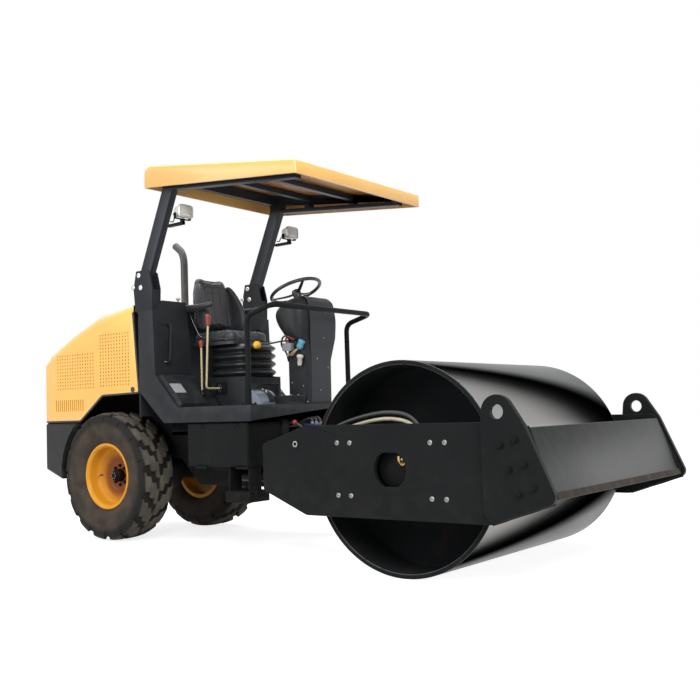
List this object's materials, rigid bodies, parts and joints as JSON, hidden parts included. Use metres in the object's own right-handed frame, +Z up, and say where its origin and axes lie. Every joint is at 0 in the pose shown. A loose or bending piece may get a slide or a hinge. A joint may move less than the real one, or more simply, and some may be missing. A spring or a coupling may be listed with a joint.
{
  "type": "road roller",
  "caption": "Single-drum vibratory road roller with a smooth steel drum, lugged rear tyres, centre articulation and an open canopy over the seat.",
  "frame": {"origin": "on the ground under the middle of the machine's length and width", "axes": "+X towards the drum, +Y to the machine's left, +Z up"},
  "size_m": [4.544, 1.978, 2.7262],
  "materials": {
    "black_paint": "semi-gloss",
    "yellow_paint": "gloss",
    "drum_steel": "polished by use",
    "rubber": "matte",
    "tyre_rubber": "matte, dusty",
    "seat_vinyl": "satin",
    "lamp_housing": "satin",
    "blue_paint": "semi-gloss",
    "bright_rod": "polished",
    "lever_rod": "satin",
    "exhaust_steel": "heat-stained",
    "cast_iron": "matte"
  },
  "bodies": {
    "rear_section": {"rear_frame": "black_paint", "rear_axle": "cast_iron", "counterweight": "black_paint", "engine_block": "cast_iron", "platform": "black_paint", "bulkhead_left": "black_paint", "bulkhead_right": "black_paint", "rops_frame": "black_paint", "canopy": "yellow_paint", "seat_pedestal": "black_paint", "seat_bellows": "rubber", "seat_cushion": "seat_vinyl", "seat_backrest": "seat_vinyl", "steering_console": "black_paint", "handrail": "black_paint", "lever_short": "lever_rod", "lever_tall": "lever_rod", "pedal_cover": "black_paint", "valve_block": "blue_paint", "side_box_left": "black_paint", "side_box_right": "black_paint", "work_lamp_left": "lamp_housing", "work_lamp_right": "lamp_housing"},
    "drum_section": {"side_plate_left": "black_paint", "side_plate_right": "black_paint", "front_crossbeam": "black_paint", "rear_crossbeam": "black_paint", "drum_carrier_left": "black_paint", "drum_carrier_right": "black_paint", "drum_hose_1": "rubber", "drum_hose_2": "rubber"},
    "drum_unit": {"drum": "drum_steel"},
    "rear_wheel_right": {"tyre_right": "tyre_rubber", "rim_right": "yellow_paint", "hub_right": "black_paint"},
    "rear_wheel_left": {"tyre_left": "tyre_rubber", "rim_left": "yellow_paint", "hub_left": "black_paint"},
    "hood_unit": {"hood": "yellow_paint", "exhaust_stack": "exhaust_steel"},
    "hand_wheel": {"steering_wheel": "black_paint"},
    "steer_cylinder_right": {"cylinder_barrel_right": "black_paint"},
    "steer_rod_right": {"cylinder_rod_right": "bright_rod"},
    "steer_cylinder_left": {"cylinder_barrel_left": "black_paint"},
    "steer_rod_left": {"cylinder_rod_left": "bright_rod"}
  },
  "joints": [
    {"name": "articulation", "type": "hinge", "parent": "rear_section", "child": "drum_section", "pos_m": [0.18, 0, 0.6], "axis": [0, 0, 1], "range_deg": [-32, 32]},
    {"name": "drum_spin", "type": "hinge", "parent": "drum_section", "child": "drum_unit", "pos_m": [1.31, 0, 0.6], "axis": [0, 1, 0], "continuous": true},
    {"name": "rear_wheel_right_spin", "type": "hinge", "parent": "rear_section", "child": "rear_wheel_right", "pos_m": [-1.51, -0.49, 0.485], "axis": [0, 1, 0], "continuous": true},
    {"name": "rear_wheel_left_spin", "type": "hinge", "parent": "rear_section", "child": "rear_wheel_left", "pos_m": [-1.51, 0.49, 0.485], "axis": [0, 1, 0], "continuous": true},
    {"name": "hood_lift", "type": "hinge", "parent": "rear_section", "child": "hood_unit", "pos_m": [-2.252, 0, 0.905], "axis": [0, -1, 0], "range_deg": [0, 50]},
    {"name": "hand_wheel_turn", "type": "hinge", "parent": "rear_section", "child": "hand_wheel", "pos_m": [-0.25, 0.19, 1.835], "axis": [-0.3746, 0, 0.9272], "continuous": true},
    {"name": "steer_cylinder_right_swing", "type": "hinge", "parent": "rear_section", "child": "steer_cylinder_right", "pos_m": [-0.41, -0.38, 0.495], "axis": [0, 0, 1], "range_deg": [-6.4, 6.4]},
    {"name": "steer_rod_right_stroke", "type": "slide", "parent": "steer_cylinder_right", "child": "steer_rod_right", "axis": [1, 0, 0], "range_m": [-0.2065, 0.2065]},
    {"name": "steer_cylinder_left_swing", "type": "hinge", "parent": "rear_section", "child": "steer_cylinder_left", "pos_m": [-0.41, 0.38, 0.495], "axis": [0, 0, 1], "range_deg": [-6.4, 6.4]},
    {"name": "steer_rod_left_stroke", "type": "slide", "parent": "steer_cylinder_left", "child": "steer_rod_left", "axis": [1, 0, 0], "range_m": [-0.2065, 0.2065]}
  ],
  "couplings": [
    {"joint": "steer_cylinder_right_swing", "follows": "articulation", "ratio": 0.198},
    {"joint": "steer_rod_right_stroke", "follows": "articulation", "m_per_rad": 0.369},
    {"joint": "steer_cylinder_left_swing", "follows": "articulation", "ratio": 0.198},
    {"joint": "steer_rod_left_stroke", "follows": "articulation", "m_per_rad": -0.369}
  ]
}
